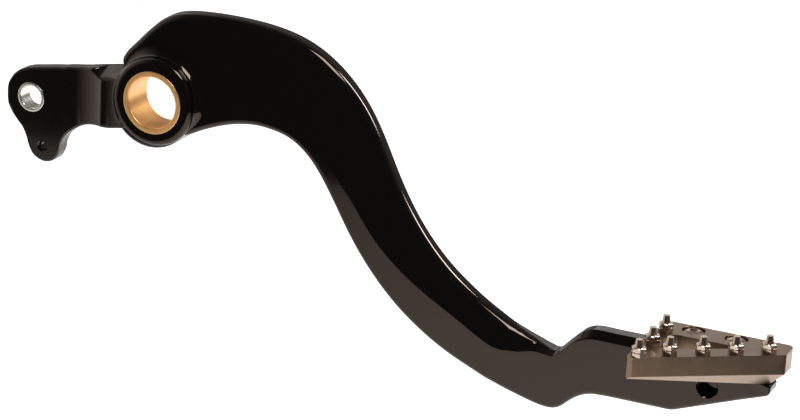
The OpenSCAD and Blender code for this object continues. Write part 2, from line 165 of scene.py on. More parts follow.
@dataclass(frozen=True)
class GlossEnamel(Finish):
    """Stoved black enamel on a forging: a deep clear gloss over a faint orange peel."""

    sheen: str = "#ffe2cf"
    peel: float = 2.4
    peel_depth: float = 0.0016
    patch: float = 14.0
    spread: float = 0.015

    def build(self) -> bpy.types.Material:
        """Makes the enamel."""
        material, tree, shader = self.start()
        place = add_node(tree, "ShaderNodeTexCoord").outputs["Object"]
        shader.inputs["Specular Tint"].default_value = linear(self.sheen)
        self.vary_roughness(tree, shader, place, self.patch, self.spread)
        # Sprayed and stoved paint dries in soft cells a couple of millimetres wide
        cells = add_node(tree, "ShaderNodeTexNoise",
                         {"Vector": place, "Scale": 1 / (self.peel * MM), "Detail": 1.0})
        bump = add_node(tree, "ShaderNodeBump", {
            "Height": cells.outputs["Fac"], "Distance": self.peel_depth * MM, "Strength": 1.0})
        tree.links.new(bump.outputs["Normal"], shader.inputs["Normal"])
        return material


@dataclass(frozen=True)
class CutMetal(Finish):
    """Bare or anodised metal with the fine marks of the way it was cut."""

    tooling: Tooling = Tooling.POLISHED
    pitch: float = 0.5
    depth: float = 0.002
    axis_at: tuple[float, float, float] = (0.0, 0.0, 0.0)
    wobble: float = 0.6
    patch: float = 5.0
    spread: float = 0.03

    def marks(self, tree: bpy.types.NodeTree, place: bpy.types.NodeSocket,
              normal: bpy.types.NodeSocket) -> bpy.types.NodeSocket:
        """Draws the cutting marks as a height from 0 to 1.

        Args:
            tree: the material's tree.
            place: the coordinates.
            normal: the surface's direction in the same coordinates.

        Returns:
            The height.
        """
        if self.tooling is not Tooling.TURNED:
            # Grit and polishing lines are finer than a pixel, so they are drawn at the pitch given
            grain = add_node(tree, "ShaderNodeTexNoise",
                             {"Vector": place, "Scale": 1 / (self.pitch * MM), "Detail": 3.0})
            return grain.outputs["Fac"]
        # The tool leaves rings on an end face and bands round a wall. A wave repeats every
        # 2 pi / 20 of its scale, and the feed is drawn coarser than the real 0.1 mm to show
        centred = add_node(tree, "ShaderNodeMapping", {
            "Vector": place, "Location": [-c * MM for c in self.axis_at]}).outputs["Vector"]
        wave = {"Vector": centred, "Scale": 2 * math.pi / 20 / (self.pitch * MM),
                "Distortion": self.wobble}
        rings = add_node(tree, "ShaderNodeTexWave", wave, wave_type="RINGS", rings_direction="Y")
        bands = add_node(tree, "ShaderNodeTexWave", wave, wave_type="BANDS", bands_direction="Y")
        facing = add_node(tree, "ShaderNodeSeparateXYZ", {"Vector": normal}).outputs["Y"]
        side = add_node(tree, "ShaderNodeMath", {0: facing}, operation="ABSOLUTE").outputs[0]
        mixed = add_node(tree, "ShaderNodeMix", {
            "Factor": side, "A": bands.outputs["Fac"], "B": rings.outputs["Fac"]})
        return mixed.outputs["Result"]

    def build(self) -> bpy.types.Material:
        """Makes the metal."""
        material, tree, shader = self.start()
        coordinates = add_node(tree, "ShaderNodeTexCoord")
        place = coordinates.outputs["Object"]
        self.vary_roughness(tree, shader, place, self.patch, self.spread)
        height = self.marks(tree, place, coordinates.outputs["Normal"])
        bump = add_node(tree, "ShaderNodeBump", {
            "Height": height, "Distance": self.depth * MM, "Strength": 1.0})
        tree.links.new(bump.outputs["Normal"], shader.inputs["Normal"])
        return material


def arc(cx: float, cy: float, r: float, start: float, stop: float, parts: int) -> np.ndarray:
    """Points along an arc.

    Args:
        cx, cy: the centre.
        r: the radius.
        start, stop: the headings of its ends in degrees.
        parts: how many straight parts it has.

    Returns:
        An array of x and y.
    """
    a = np.radians(np.linspace(start, stop, parts + 1))
    return np.column_stack([cx + r * np.cos(a), cy + r * np.sin(a)])


def spline(rows: np.ndarray, steps: int) -> np.ndarray:
    """Draws a smooth curve through rows of numbers.

    Args:
        rows: the stations, one in each row.
        steps: how many rows each gap becomes.

    Returns:
        The finer rows.
    """
    ends = np.vstack([rows[:1], rows, rows[-1:]])
    fine = []
    for a, b, c, d in zip(ends, ends[1:], ends[2:], ends[3:]):
        for t in np.arange(steps) / steps:
            fine.append(b + (c - a) * (t / 2) + (2 * a - 5 * b + 4 * c - d) * (t * t / 2)
                        + (3 * b - a - 3 * c + d) * (t ** 3 / 2))
    return np.vstack([fine, rows[-1:]])


def ease(t: float | np.ndarray) -> float | np.ndarray:
    """A smooth step from 0 to 1 as t goes from 0 to 1."""
    c = np.clip(t, 0, 1)
    return c * c * (3 - 2 * c)


def round_inset(radius: float, gap: float) -> float:
    """How far an end's round draws a ring in, at a gap from the end face."""
    if gap >= radius:
        return 0.0
    return radius - math.sqrt(radius ** 2 - (radius - gap) ** 2)


def mesh_object(name: str, points: np.ndarray, faces: list[list[int]]) -> bpy.types.Object:
    """Makes an object with its place in its mesh.

    Args:
        name: the object's name.
        points: the corners in millimetres.
        faces: each face's corners.

    Returns:
        The object, linked to the scene.
    """
    mesh = bpy.data.meshes.new(name)
    mesh.from_pydata((np.asarray(points, float) * MM).tolist(), [], faces)
    mesh.validate()
    made = bpy.data.objects.new(name, mesh)
    bpy.context.scene.collection.objects.link(made)
    return made


def skin(name: str, rings: list[np.ndarray], closed: bool = False) -> bpy.types.Object:
    """Skins a row of rings that have the same number of points.

    Args:
        name: the object's name.
        rings: the rings in order.
        closed: whether the last ring joins the first, rather than both ends being capped.

    Returns:
        The closed mesh's object.
    """
    n = len(rings[0])
    m = len(rings)
    faces = []
    for i in range(m if closed else m - 1):
        j = (i + 1) % m
        for k in range(n):
            q = (k + 1) % n
            faces.append([i * n + k, i * n + q, j * n + q, j * n + k])
    if not closed:
        faces.append(list(range(n - 1, -1, -1)))
        faces.append([(m - 1) * n + k for k in range(n)])
    made = mesh_object(name, np.vstack(rings), faces)
    return outward(made)


def outward(made: bpy.types.Object) -> bpy.types.Object:
    """Turns a closed mesh's faces outwards.

    Args:
        made: the object.

    Returns:
        The same object.
    """
    mesh = made.data
    volume = 0.0
    mesh.calc_loop_triangles()
    for t in mesh.loop_triangles:
        a, b, c = (mesh.vertices[v].co for v in t.vertices)
        volume += a.dot(b.cross(c))
    if volume < 0:
        mesh.flip_normals()
    return made


def revolved(name: str, profile: list, centre: tuple[float, float], parts: int,
             closed: bool = False) -> bpy.types.Object:
    """Turns a profile round an axis along Y.

    Args:
        name: the object's name.
        profile: rows of radius and depth.
        centre: the axis's x and z.
        parts: how many straight parts the circle has.
        closed: whether the profile is a closed loop, as on a bush.

    Returns:
        The closed mesh's object.
    """
    turns = np.radians(np.arange(parts) * 360 / parts)
    rings = [
        np.column_stack([centre[0] + r * np.cos(turns), np.full(parts, y),
                         centre[1] + r * np.sin(turns)])
        for r, y in profile
    ]
    return skin(name, rings, closed)


def bake(made: bpy.types.Object) -> bpy.types.Object:
    """Turns an object's modifiers into its plain mesh.

    Args:
        made: the object.

    Returns:
        The same object without modifiers.
    """
    graph = bpy.context.evaluated_depsgraph_get()
    graph.update()
    mesh = bpy.data.meshes.new_from_object(made.evaluated_get(graph))
    made.modifiers.clear()
    made.data = mesh
    mesh.name = made.name
    return made


def combine(base: bpy.types.Object, others: list[bpy.types.Object],
            operation: str) -> bpy.types.Object:
    """Joins solids to a solid, or cuts them from it.

    Args:
        base: the solid that is kept.
        others: the solids that are used up.
        operation: UNION or DIFFERENCE.

    Returns:
        The base.
    """
    for other in others:
        step = base.modifiers.new("combine", "BOOLEAN")
        step.solver = "EXACT"
        step.operation = operation
        step.object = other
        bake(base)
        bpy.data.objects.remove(other)
    return base


def break_edges(made: bpy.types.Object, width: float, segments: int, angle: float) -> None:
    """Gives an object a modifier that breaks its sharp edges.

    Args:
        made: the object.
        width: the width of the break.
        segments: how many faces it has across.
        angle: the angle in degrees past which an edge is broken.
    """
    edges = made.modifiers.new("edges", "BEVEL")
    edges.width = width * MM
    edges.segments = segments
    edges.limit_method = "ANGLE"
    edges.angle_limit = math.radians(angle)


def smooth(made: bpy.types.Object, edge_angle: float = 32.0,
           flat_weight: int = 80) -> bpy.types.Object:
    """Shades a mesh smooth up to an angle, with its flats kept flat.

    Args:
        made: the object.
        edge_angle: the angle in degrees past which an edge stays sharp.
        flat_weight: how much the large faces lead the shading, where 50 is even.

    Returns:
        The same object.
    """
    made.data.shade_smooth()
    made.data.set_sharp_from_angle(angle=math.radians(edge_angle))
    weigh = made.modifiers.new("flats", "WEIGHTED_NORMAL")
    weigh.keep_sharp = True
    weigh.weight = flat_weight
    return bake(made)


def place(made: bpy.types.Object, node: str, finish: Finish) -> bpy.types.Object:
    """Gives a piece its finish and puts it in the place of its CAD node.

    Args:
        made: the object.
        node: the CAD node that it stands for.
        finish: its finish.

    Returns:
        The same object.
    """
    made.data.materials.clear()
    made.data.materials.append(finish.material())
    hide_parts(node)
    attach(made, BODY)
    LOG.info("%s: %d faces, %s", made.name, len(made.data.polygons), finish.name)
    return made


def mount(name: str) -> dict:
    """One of the record's mounts."""
    return next(m for m in frame["record"]["mounts"] if m["name"] == name)


def mount_at(name: str) -> Vector:
    """The place of one of the record's mounts, in millimetres."""
    return Vector(mount(name)["pos_m"]) / MM


def mount_radius(name: str) -> float:
    """The radius of one of the record's bores, in millimetres."""
    return mount(name)["dims"]["r_mm"]


# Stations along the arm, from behind the hub to the level bar: the upper edge x and z, the lower
# edge x and z, the crease's share of the way up, and the round on the upper edge
ARM_STATIONS = (
    (-12.6, 8.6, -0.8, 0.6, 0.00, 1.8), (-14.8, 11.4, -0.9, 1.5, 0.00, 2.0),
    (-13.6, 14.6, 2.2, 0.0, 0.00, 2.2), (-9.7, 19.0, 5.0, -2.2, 0.00, 2.4),
    (-5.5, 23.5, 7.6, -5.3, 0.00, 2.5), (-0.6, 27.8, 9.6, -8.2, 0.00, 2.5),
    (4.6, 30.4, 11.5, -10.6, 0.00, 2.5), (12.4, 31.7, 17.7, -7.7, 0.00, 2.5),
    (25.0, 32.1, 27.5, -4.1, 0.00, 2.5), (40.5, 31.1, 36.6, -2.6, 0.00, 2.5),
    (54.0, 27.7, 43.5, -3.0, 0.00, 2.6), (65.6, 20.7, 49.8, -4.5, 0.02, 2.7),
    (75.2, 10.8, 55.5, -7.9, 0.12, 2.8), (82.2, -0.6, 61.0, -13.6, 0.22, 2.9),
    (88.9, -14.2, 67.4, -23.4, 0.31, 3.0), (96.7, -27.0, 76.7, -38.9, 0.36, 3.1),
    (106.7, -38.6, 90.0, -54.6, 0.49, 3.3), (118.7, -48.0, 105.7, -66.5, 0.59, 3.7),
    (131.1, -55.2, 122.3, -74.5, 0.57, 4.2), (137.1, -57.8, 130.3, -77.4, 0.70, 3.6),
    (142.8, -59.8, 138.0, -79.6, 0.86, 2.4), (147.0, -61.2, 145.0, -81.2, 0.92, 1.2),
    (149.8, -61.6, 149.6, -81.5, 0.94, 0.8), (152.2, -59.4, 152.8, -80.4, 0.94, 0.7),
    (155.6, -55.8, 156.0, -77.6, 0.93, 0.6), (158.8, -53.0, 159.3, -75.2, 0.91, 0.6),
    (163.0, -51.5, 163.5, -73.6, 0.90, 0.6), (170.0, -51.5, 170.0, -73.2, 0.90, 0.6),
)

# Stations along the rod lever's eye and spring lobe, from the rod pin: upper x, z and lower x, z
EYE_STATIONS = (
    (-9.2, 4.3, -9.2, -4.4), (-7.6, 6.9, -7.6, -7.2), (-5.4, 8.9, -5.7, -9.5),
    (-3.0, 10.0, -3.5, -11.9), (-0.6, 10.6, -1.9, -15.0), (1.2, 10.9, -0.6, -18.8),
    (3.0, 11.2, 1.5, -21.6), (5.3, 11.6, 5.4, -22.9), (7.7, 12.0, 9.1, -21.7),
    (9.7, 12.3, 11.1, -18.7), (11.7, 12.6, 11.8, -15.3), (14.1, 13.1, 13.7, -11.9),
    (16.9, 13.5, 17.0, -9.1), (20.9, 14.1, 21.1, -6.8),
)

# Stations along the lever's web, from the pivot: upper x, z and lower x, z
WEB_STATIONS = (
    (-26.0, 6.8, -26.0, -13.9), (-22.0, 7.5, -22.0, -13.4), (-18.5, 8.1, -18.5, -13.2),
    (-14.0, 8.6, -14.0, -12.2), (-9.0, 8.8, -9.0, -11.0),
)

# Where the bar's rings stand under the plate, closer together where its underside starts to taper
BAR_PLACES = (187, 189, 190.2, 190.8, 191.4, 192, 192.6, 193.2, 195, 200, 205, 210, 215)
# How far the last rings stand from an end face, at the bar's tip and at the lever's eye
TIP_GAPS = (0.03, 0.0)
EYE_GAPS = (0.0, 0.02, 0.08, 0.18, 0.32, 0.5)


@dataclass
class PedalArm:
    """The forged arm: hub and foot, curved arm, rod lever and the bar at the tip, in one piece."""

    # The hub, the fillet at its foot by heading, and the bulge under it
    hub_half: float = 6.5
    hub_radius: float = 15.4
    hub_round: float = 2.0
    hub_break: float = 0.5
    hub_fillet: float = 4.0
    fillet_back: float = 165.0
    fillet_front: float = -40.0
    fillet_parts: int = 82
    fillet_fade_back: float = 60.0
    fillet_fade_front: float = 40.0
    fillet_least: float = 0.3
    fillet_sink: float = 0.03
    foot_bulge: float = 2.0
    foot_heading: float = 219.0
    foot_radius: float = 15.6
    foot_front: float = -4.9
    foot_back: float = 5.6
    foot_round: float = 1.5
    foot_break: float = 0.4
    # Depths of the arm's faces, and where along it they blend
    back: float = 6.2
    low_thick: float = 9.7
    edge_thick: float = 6.2
    bar_thick: float = 7.7
    lean_from: float = -6.0
    lean_run: float = 38.0
    hub_to: float = 20.0
    bar_from: float = 130.0
    face_blend: float = 30.0
    thin_from: float = 45.0
    thin_run: float = 100.0
    # Rounds and crease of the cross-section
    low_round: float = 1.8
    back_round: float = 0.8
    crease_round: float = 2.0
    crease_gap: float = 0.4
    round_share: float = 0.3
    upper_share: float = 0.85
    bend_share: float = 0.9
    bend_least: float = 0.05
    # How the drawn stations are refined and relaxed
    arm_steps: int = 12
    relax_in: float = 20.0
    relax_to: float = 128.0
    relax_out: float = 15.0
    relax_rounds: int = 24
    # The bar, its seat under the plate, its taper and its end
    bar_height: float = 22.0
    bar_chamfer: float = 2.0
    seat_chamfer: float = 0.4
    chamfer_reach: float = 1.15
    bar_edge: float = 0.6
    drawn_height: float = 21.7
    deepen_from: float = 120.0
    deepen_run: float = 35.0
    seat_x: float = 184.8
    seat_lead: float = 0.3
    seat_run: float = 0.4
    tip_x: float = 224.3
    bar_top: float = -51.5
    seat_step: float = 1.1
    seat_slope: float = 7.3
    taper_from: float = 191.5
    taper_ease: float = 1.5
    taper_slope: float = 20.6
    tip_round: float = 2.5
    tip_heading: float = -12.0
    end_round: float = 0.7
    # The rod lever: eye, ramp, web and the web's sloping top
    lever_back: float = 5.9
    lever_thick: float = 6.0
    lever_round: float = 1.1
    lever_edge: float = 1.5
    lever_steps: int = 8
    eye_radius: float = 10.0
    eye_flat: float = 0.03
    web_x: float = -21.6
    web_gap: float = 1.2
    ramp: float = 12.0
    ramp_rise: float = 3.6
    web_ramp: float = 8.0
    web_rise: float = 1.6
    web_slope_from: float = -27.0
    web_slope_run: float = 6.0
    web_slope_drop: float = 2.4
    web_slope_depth: float = 7.6
    web_slope_back: float = 3.0
    # Bores and holes, and how far their cutters overshoot
    bush_seat: float = 11.0
    rod_seat: float = 5.3
    side_hole: float = 3.5
    side_hole_depth: float = 5.0
    side_hole_x: float = 203.35
    edge_break: float = 0.3
    spring_sink: float = 0.5
    overshoot: float = 1.0
    cut_reach: float = 20.0

    def hub_face(self, z: float) -> float:
        """The depth of the arm's outboard face by the hub, which leans inboard as it rises."""
        lean = (self.low_thick - self.edge_thick) * (z - self.lean_from) / self.lean_run
        return self.back - self.low_thick + lean

    def past_hub(self, x: float) -> float:
        """How far the face has left the hub's lean, from 0 to 1."""
        return ease((x - self.hub_to) / self.face_blend)

    def low_face(self, x: float, z: float) -> float:
        """The depth of the outboard face at the lower edge."""
        thinned = (self.low_thick - self.bar_thick) * ease((x - self.thin_from) / self.thin_run)
        k = self.past_hub(x)
        return self.hub_face(z) * (1 - k) + (self.back - self.low_thick + thinned) * k

    def up_face(self, x: float, z: float) -> float:
        """The depth of the outboard face at the upper edge."""
        k = self.past_hub(x)
        e = ease((x - self.bar_from) / self.face_blend)
        tip = self.back - self.bar_thick + self.bar_chamfer
        return self.hub_face(z) * (1 - k) + ((self.back - self.edge_thick) * (1 - e) + tip * e) * k

    def section(self, width: float, back: float, low_y: float, up_y: float, crease: float,
                low_round: float, up_round: float) -> np.ndarray:
        """A rounded cross-section with a crease across its outboard face.

        Args:
            width: from the lower edge to the upper one.
            back: the depth of the inboard face.
            low_y, up_y: the depth of the outboard face at its two edges.
            crease: how far the crease lies from the lower edge.
            low_round, up_round: the rounds on the outboard edges.

        Returns:
            An array of the distance from the lower edge, and the depth.
        """
        widest = width * self.round_share
        rl = min(low_round, widest)
        ru = min(up_round, widest, (width - max(crease, rl)) * self.upper_share)
        rb = min(self.back_round, widest)
        cw = max(crease, rl + self.crease_gap)
        lean = math.atan2(up_y - low_y, width - ru - cw)
        touch = width - ru + ru * math.sin(lean)
        touch_y = up_y + ru * (1 - math.cos(lean))
        lean = math.atan2(touch_y - low_y, touch - cw)
        half = self.crease_round * math.tan(abs(lean) / 2)
        half = min(half, self.round_share * (width - ru - cw),
                   self.bend_share * (cw - rl) + self.bend_least)
        facet = [(rl + (cw - half - rl) * k / 6, low_y) for k in range(1, 6)]
        bend = [(cw - half, low_y), (cw, low_y + 0.25 * half * math.sin(lean)),
                (cw + half * math.cos(lean), low_y + half * math.sin(lean))]
        start = np.array(bend[-1])
        upper = [start + (np.array([touch, touch_y]) - start) * k / 8 for k in range(1, 8)]
        rear = [(width - rb - (width - 2 * rb) * k / 8, back) for k in range(1, 8)]
        return np.vstack([
            arc(rb, back - rb, rb, 90, 180, 5),
            arc(rl, low_y + rl, rl, 180, 270, 12),
            facet, bend, upper,
            arc(width - ru, up_y + ru, ru, 270 + math.degrees(lean), 360, 14),
            arc(width - rb, back - rb, rb, 0, 90, 5),
            rear,
        ])

    @staticmethod
    def ring(up: np.ndarray, low: np.ndarray, points: np.ndarray) -> np.ndarray:
        """Stands a cross-section on the line from the lower edge to the upper one."""
        along = (up - low) / np.linalg.norm(up - low)
        return np.column_stack([low[0] + along[0] * points[:, 0], points[:, 1],
                                low[1] + along[1] * points[:, 0]])

    def arm_ring(self, station: np.ndarray) -> np.ndarray:
        """The ring at one station of the arm."""
        up = station[:2]
        deeper = (self.bar_height - self.drawn_height) * ease(
            (station[2] - self.deepen_from) / self.deepen_run)
        low = station[2:4] - np.array([0, deeper])
        width = float(np.linalg.norm(up - low))
        points = self.section(width, self.back, self.low_face(*low), self.up_face(*up),
                              station[4] * width, self.low_round, station[5])
        return self.ring(up, low, points)

    def bar_ring(self, x: float, top: float, low: float, inset: float = 0.0) -> np.ndarray:
        """The ring of the bar at a place along it, drawn in by an inset where the end rounds."""
        width = top - low - 2 * inset
        face = self.back - self.bar_thick
        chamfer = self.bar_chamfer if x < self.seat_x else self.seat_chamfer
        points = self.section(width, self.back - inset, face + inset, face + chamfer + inset,
                              width - self.chamfer_reach * chamfer, self.low_round, self.bar_edge)
        return self.ring(np.array([x, top - inset]), np.array([x, low + inset]), points)

    def seat_z(self, x: float) -> float:
        """The height of the sloping seat."""
        return self.bar_top - self.seat_step - (x - self.seat_x) * math.tan(
            math.radians(self.seat_slope))

    def taper_z(self, x: float) -> float:
        """The height of the tapered underside, whose start is eased both ways."""
        run, soft = x - self.taper_from, self.taper_ease
        eased = max(0.0, run) if abs(run) > soft else (run + soft) ** 2 / (4 * soft)
        return self.bar_top - self.bar_height + eased * math.tan(math.radians(self.taper_slope))

    def bar_rings(self) -> list[np.ndarray]:
        """The rings from the plate's seat to the rounded end of the tip."""
        low = self.bar_top - self.bar_height
        seat_start = self.seat_x + self.seat_run
        rings = [self.bar_ring(self.seat_x - self.seat_lead, self.bar_top, low),
                 self.bar_ring(self.seat_x, self.bar_top, low),
                 self.bar_ring(seat_start, self.seat_z(seat_start), low)]
        slope = self.taper_slope
        corner_x = self.tip_x - self.tip_round
        start = corner_x + self.tip_round * math.sin(math.radians(slope))
        corner_z = self.taper_z(start) + self.tip_round * math.cos(math.radians(slope))
        for x in (*BAR_PLACES, start):
            rings.append(self.bar_ring(x, self.seat_z(x), self.taper_z(x)))
        sweep = arc(corner_x, corner_z, self.tip_round, -90 + slope, self.tip_heading, 12)[1:]
        last = [(self.tip_x - gap, corner_z) for gap in TIP_GAPS]
        for x, z in (*sweep, *last):
            inset = round_inset(self.end_round, self.tip_x - x)
            rings.append(self.bar_ring(x, self.seat_z(x), z - inset, inset))
        return rings

    def arm(self) -> bpy.types.Object:
        """The curved arm and its bar, as one loft.

        The gloss shows every unevenness of the drawn stations, so the stretch from the hub to
        the heel is relaxed.
        """
        drawn = spline(np.array(ARM_STATIONS), self.arm_steps)
        share = (ease(drawn[:, 0] / self.relax_in)
                 * ease((self.relax_to - drawn[:, 0]) / self.relax_out))
        for _ in range(self.relax_rounds):
            middle = (drawn[:-2] + 2 * drawn[1:-1] + drawn[2:]) / 4
            drawn[1:-1] += share[1:-1, None] * (middle - drawn[1:-1])
        return skin("arm", [self.arm_ring(s) for s in drawn] + self.bar_rings())

    def lever_face(self, x: float) -> float:
        """The depth of the lever's outboard face, which sweeps up to the hub in two hollows."""
        depth = self.lever_back - self.lever_thick
        for start, length, rise in ((self.web_x - self.ramp, self.ramp, self.ramp_rise),
                                    (self.web_x + self.web_gap, self.web_ramp, self.web_rise)):
            radius = (length ** 2 + rise ** 2) / (2 * rise)
            run = min(max(x - start, 0.0), length)
            depth -= radius - math.sqrt(radius ** 2 - run ** 2)
        return depth

    def lever_ring(self, up: np.ndarray, low: np.ndarray, inset: float = 0.0) -> np.ndarray:
        """The lever's ring on a line, thinned by an inset where its end rounds."""
        width = float(np.linalg.norm(up - low))
        slope = ease((up[0] - self.web_slope_from) / self.web_slope_run)
        upper = min(self.lever_face(up[0]) + self.web_slope_depth * slope, self.web_slope_back)
        points = self.section(width, self.lever_back - inset, self.lever_face(low[0]) + inset,
                              upper + inset, width - self.lever_edge - self.web_slope_drop * slope,
                              self.lever_round, self.lever_round)
        return self.ring(up, low, points)

    def lever(self) -> bpy.types.Object:
        """The rod lever with its eye, spring lobe, ramp and web, as one loft."""
        pin = mount_at("rod_pin_bore")
        rings = []
        for gap in EYE_GAPS:
            half = math.sqrt(2 * self.eye_radius * (gap + self.eye_flat))
            x = pin.x - self.eye_radius + gap
            rings.append(self.lever_ring(np.array([x, pin.z + half]), np.array([x, pin.z - half]),
                                         round_inset(self.lever_round, gap)))
        eye = np.array(EYE_STATIONS) + np.array([pin.x, pin.z, pin.x, pin.z])
        for s in spline(np.vstack([eye, WEB_STATIONS]), self.lever_steps):
            gap = s[0] - pin.x + self.eye_radius
            rings.append(self.lever_ring(s[:2], s[2:], round_inset(self.lever_round, gap)))
        return skin("lever", rings)

    def hub(self) -> bpy.types.Object:
        """The hub, with a round on its outboard edge and a break on its inboard one."""
        r, half, e = self.hub_radius, self.hub_half, self.hub_break
        profile = np.vstack([
            arc(r - self.hub_round, self.hub_round - half, self.hub_round, -90, 0, 14),
            arc(r - e, half - e, e, 0, 90, 4),
        ])
        return revolved("hub", profile.tolist(), (0, 0), 192)

    def foot(self) -> bpy.types.Object:
        """The bulge of the forging under the hub, towards the rod lever."""
        a = math.radians(self.foot_heading)
        r, e, b = self.foot_radius, self.foot_round, self.foot_break
        profile = np.vstack([
            arc(r - e, self.foot_front + e, e, -90, 0, 10),
            arc(r - b, self.foot_back - b, b, 0, 90, 3),
        ])
        centre = (self.foot_bulge * math.cos(a), self.foot_bulge * math.sin(a))
        return revolved("foot", profile.tolist(), centre, 176)

    def fillet(self) -> bpy.types.Object:
        """The fillet at the hub's foot, swept over the leaning face and run out at both ends."""
        rings = []
        inner, deep = self.hub_radius - self.overshoot, 2 * self.overshoot
        for heading in np.linspace(self.fillet_back, self.fillet_front, self.fillet_parts + 1):
            share = (ease((heading - self.fillet_front) / self.fillet_fade_front)
                     * ease((self.fillet_back - heading) / self.fillet_fade_back))
            r = self.fillet_least + (self.hub_fillet - self.fillet_least) * share
            a = math.radians(heading)
            outer = self.hub_radius + r
            face = self.hub_face(outer * math.sin(a)) + self.fillet_sink
            loop = np.vstack([[(inner, face + deep), (outer, face + deep)],
                              arc(outer, face - r, r, 90, 180, 12), [(inner, face - r)]])
            rings.append(np.column_stack([loop[:, 0] * math.cos(a), loop[:, 1],
                                          loop[:, 0] * math.sin(a)]))
        return skin("fillet", rings)

    def cutters(self) -> list[bpy.types.Object]:
        """The solids that cut the bores and holes."""
        pin, spring, pivot = map(mount_at, ("rod_pin_bore", "spring_hole", "pivot_bore"))
        sr, hr = mount_radius("spring_hole"), self.side_hole
        face, back = self.lever_back - self.lever_thick, self.lever_back
        sink, e, over, reach = self.spring_sink, self.edge_break, self.overshoot, self.cut_reach
        bar_face = self.back - self.bar_thick
        mid_z = self.bar_top - self.bar_height / 2
        return [
            revolved("pivot_cut", [(self.bush_seat, -reach), (self.bush_seat, reach)],
                     (pivot.x, pivot.z), 160),
            revolved("pin_cut", [(self.rod_seat, -reach), (self.rod_seat, reach)],
                     (pin.x, pin.z), 96),
            revolved("spring_cut", [(sr + sink + over, face - over), (sr, face + sink),
                                    (sr, back - e), (sr + e + over, back + over)],
                     (spring.x, spring.z), 64),
            revolved("side_cut", [(hr + e + over, bar_face - over), (hr, bar_face + e),
                                  (hr, bar_face + self.side_hole_depth)],
                     (self.side_hole_x, mid_z), 96),
        ]

    def build(self, finish: Finish) -> bpy.types.Object:
        """Builds and dresses the arm.

        Args:
            finish: its finish.

        Returns:
            The arm's object.
        """
        body = self.arm()
        combine(body, [self.lever(), self.foot(), self.hub(), self.fillet()], "UNION")
        combine(body, self.cutters(), "DIFFERENCE")
        body.name = "arm_forging"
        return place(smooth(body), "pedal_arm", finish)


@dataclass
class Bush:
    """A plain bush with its edges broken."""

    node: str
    mount: str
    outer: float
    half: float
    edge: float
    smooth_to: float = 50.0

    def build(self, finish: Finish) -> bpy.types.Object:
        """Builds and dresses the bush.

        Args:
            finish: its finish.

        Returns:
            The bush's object.
        """
        at = mount_at(self.mount)
        low, high = at.y - self.half, at.y + self.half
        bore, e, o = mount_radius(self.mount), self.edge, self.edge / 2
        profile = np.vstack([
            arc(bore + e, low + e, e, 180, 270, 4),
            arc(self.outer - o, low + o, o, 270, 360, 3),
            arc(self.outer - o, high - o, o, 0, 90, 3),
            arc(bore + e, high - e, e, 90, 180, 4),
        ])
        made = revolved(self.node + "_turned", profile.tolist(), (at.x, at.z), 160, closed=True)
        return place(smooth(made, self.smooth_to), self.node, finish)


@dataclass
class StepPlate:
    """The machined plate, made from its CAD solid with every edge broken."""

    edge_break: float = 0.3
    edge_parts: int = 3
    edge_angle: float = 35.0
    weld_gap: float = 0.002
    flat_angle: float = 0.4

    def build(self, finish: Finish) -> bpy.types.Object:
        """Builds and dresses the plate.

        Args:
            finish: its finish.

        Returns:
            The plate's object.
        """
        source = frame["nodes"]["step_plate"]
        made = bpy.data.objects.new("step_plate_milled", source.data.copy())
        bpy.context.scene.collection.objects.link(made)
        weld = made.modifiers.new("weld", "WELD")
        weld.merge_threshold = self.weld_gap * MM
        flat = made.modifiers.new("flats", "DECIMATE")
        flat.decimate_type = "DISSOLVE"
        flat.angle_limit = math.radians(self.flat_angle)
        break_edges(made, self.edge_break, self.edge_parts, self.edge_angle)
        bake(made)
        return place(smooth(made), "step_plate", finish)


@dataclass(frozen=True)
class Stock:
    """A prism or cone that stands upright, with its measures as named inputs of its tree."""

    label: str
    sides: int
    foot: float
    top: float
    height: float
    base: float = 0.0

    def sizes(self) -> dict[str, float]:
        """The names of its inputs and their values in metres."""
        rows = {"Foot Radius": self.foot, "Top Radius": self.top, "Height": self.height,
                "Base": self.base}
        return {f"{self.label} {name}": value * MM for name, value in rows.items()}

    def grow(self, tree: bpy.types.NodeTree, source: bpy.types.Node) -> bpy.types.NodeSocket:
        """Adds its nodes.

        Args:
            tree: the tree.
            source: the tree's input node.

        Returns:
            Its geometry.
        """
        foot, top, height, base = (source.outputs[name] for name in self.sizes())
        body = add_node(tree, "GeometryNodeMeshCone", {
            "Vertices": self.sides, "Radius Top": top, "Radius Bottom": foot, "Depth": height})
        lift = add_node(tree, "ShaderNodeCombineXYZ", {"Z": base})
        return add_node(tree, "GeometryNodeTransform", {
            "Geometry": body.outputs["Mesh"], "Translation": lift.outputs[0]}).outputs[0]


def start_tree(name: str, stocks: list[Stock], ratios: dict[str, float] | None = None
               ) -> tuple[bpy.types.NodeTree, bpy.types.Node, list[bpy.types.NodeSocket]]:
    """Starts a Geometry Nodes tree, whose inputs are its sizes, its place and its finish.

    Args:
        name: the tree's name.
        stocks: the prisms and cones that it is made of.
        ratios: the names and values of its inputs without a unit.

    Returns:
        The tree, its input node and the geometry of each stock.
    """
    tree = bpy.data.node_groups.new(name, "GeometryNodeTree")
    face = tree.interface
    face.new_socket("Geometry", in_out="OUTPUT", socket_type="NodeSocketGeometry")
    for rows in (*(stock.sizes() for stock in stocks), ratios or {}):
        for label, value in rows.items():
            size = face.new_socket(label, in_out="INPUT", socket_type="NodeSocketFloat")
            size.default_value = value
    face.new_socket("Place", in_out="INPUT", socket_type="NodeSocketVector")
    face.new_socket("Finish", in_out="INPUT", socket_type="NodeSocketMaterial")
    source = add_node(tree, "NodeGroupInput")
    return tree, source, [stock.grow(tree, source) for stock in stocks]


